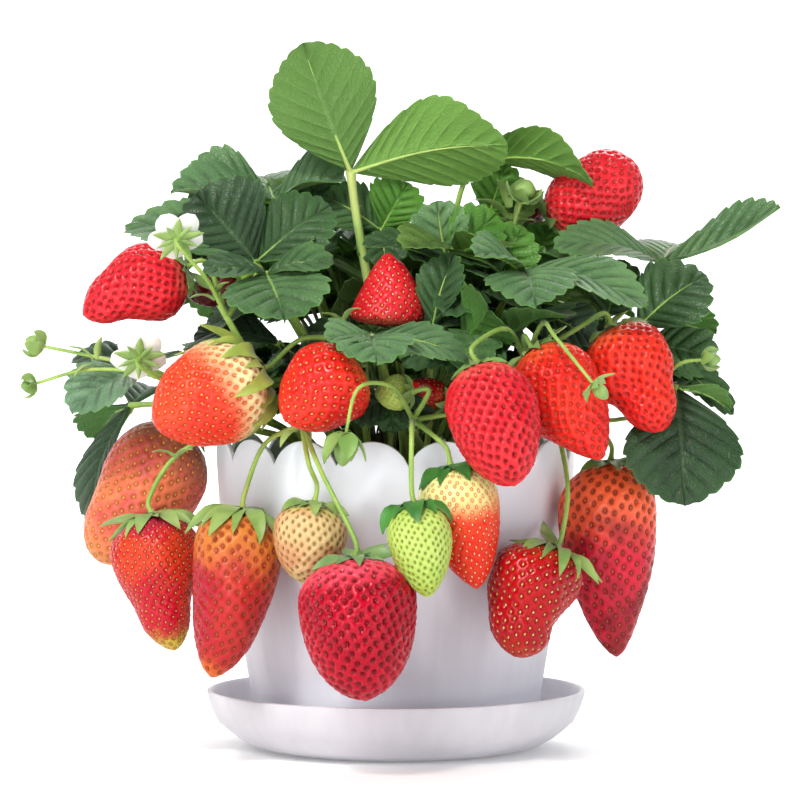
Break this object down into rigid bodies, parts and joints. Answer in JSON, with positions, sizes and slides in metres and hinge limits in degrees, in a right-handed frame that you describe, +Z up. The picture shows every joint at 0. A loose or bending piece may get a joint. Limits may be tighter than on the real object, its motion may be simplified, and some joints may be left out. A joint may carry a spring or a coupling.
{
  "type": "potted strawberry plant",
  "caption": "Strawberry plant in fruit and flower in a round white plastic pot with a scalloped rim, standing on its saucer.",
  "frame": {"origin": "the middle of the saucer's underside, on the surface that the saucer stands on", "axes": "+Z up, -Y towards the front with the most hanging fruit, +X to the right seen from the front"},
  "size_m": [0.2993, 0.2372, 0.2809],
  "materials": {
    "white_plastic": "satin moulded plastic",
    "soil": "moist crumbly potting soil",
    "bark": "rough woody crown",
    "leaf": "matt hairy leaf with sunk veins",
    "stem": "satin hairy stem and sepals",
    "petal": "soft matt petal",
    "berry_red": "glossy fruit skin with sunk yellow seeds",
    "berry_orange": "glossy half-ripe fruit skin",
    "berry_dark": "glossy over-ripe fruit skin",
    "berry_cream": "satin unripe fruit skin",
    "berry_green": "satin green fruit skin"
  },
  "bodies": {
    "root": {"saucer": "white_plastic", "pot": "white_plastic", "soil": "soil", "crown": "bark", "leaf_top": "leaf", "leaf_upper_right": "leaf", "leaf_upper_left": "leaf", "leaf_left_fan": "leaf", "leaf_left_front": "leaf", "leaf_front": "leaf", "leaf_right_front": "leaf", "leaf_middle": "leaf", "leaf_middle_low": "leaf", "leaf_right_far": "leaf", "leaf_right_mid": "leaf", "leaf_right_low": "leaf", "leaf_left_low": "leaf", "leaf_left_hanging": "leaf", "leaf_left_inner": "leaf", "leaf_right_inner": "leaf", "leaf_back_left": "leaf", "leaf_back_right": "leaf", "leaf_back": "leaf", "truss_left": "stem", "truss_left_front": "stem", "truss_front": "stem", "truss_front_high": "stem", "truss_right_front": "stem", "truss_right": "stem", "truss_upper_right": "stem", "truss_upper_left": "stem", "truss_back": "stem", "berry_left_big": "berry_orange", "berry_left_low": "berry_red", "berry_long_left": "berry_red", "berry_pale": "berry_cream", "berry_front_big": "berry_red", "berry_green": "berry_green", "berry_front_right": "berry_orange", "berry_right_low": "berry_red", "berry_long_right": "berry_red", "berry_left_rim": "berry_red", "berry_rim": "berry_red", "berry_upright": "berry_red", "berry_right_rim": "berry_red", "berry_right_mid": "berry_red", "berry_twin": "berry_red", "berry_upper_left": "berry_red", "berry_upper_right": "berry_red", "berry_inner_red": "berry_red", "berry_inner_green": "berry_green", "berry_dark_left": "berry_dark", "berry_dark_right": "berry_dark", "berry_back_left": "berry_red", "berry_back": "berry_red", "berry_back_right": "berry_orange", "petals_left": "petal", "petals_upper_left": "petal"}
  },
  "joints": []
}
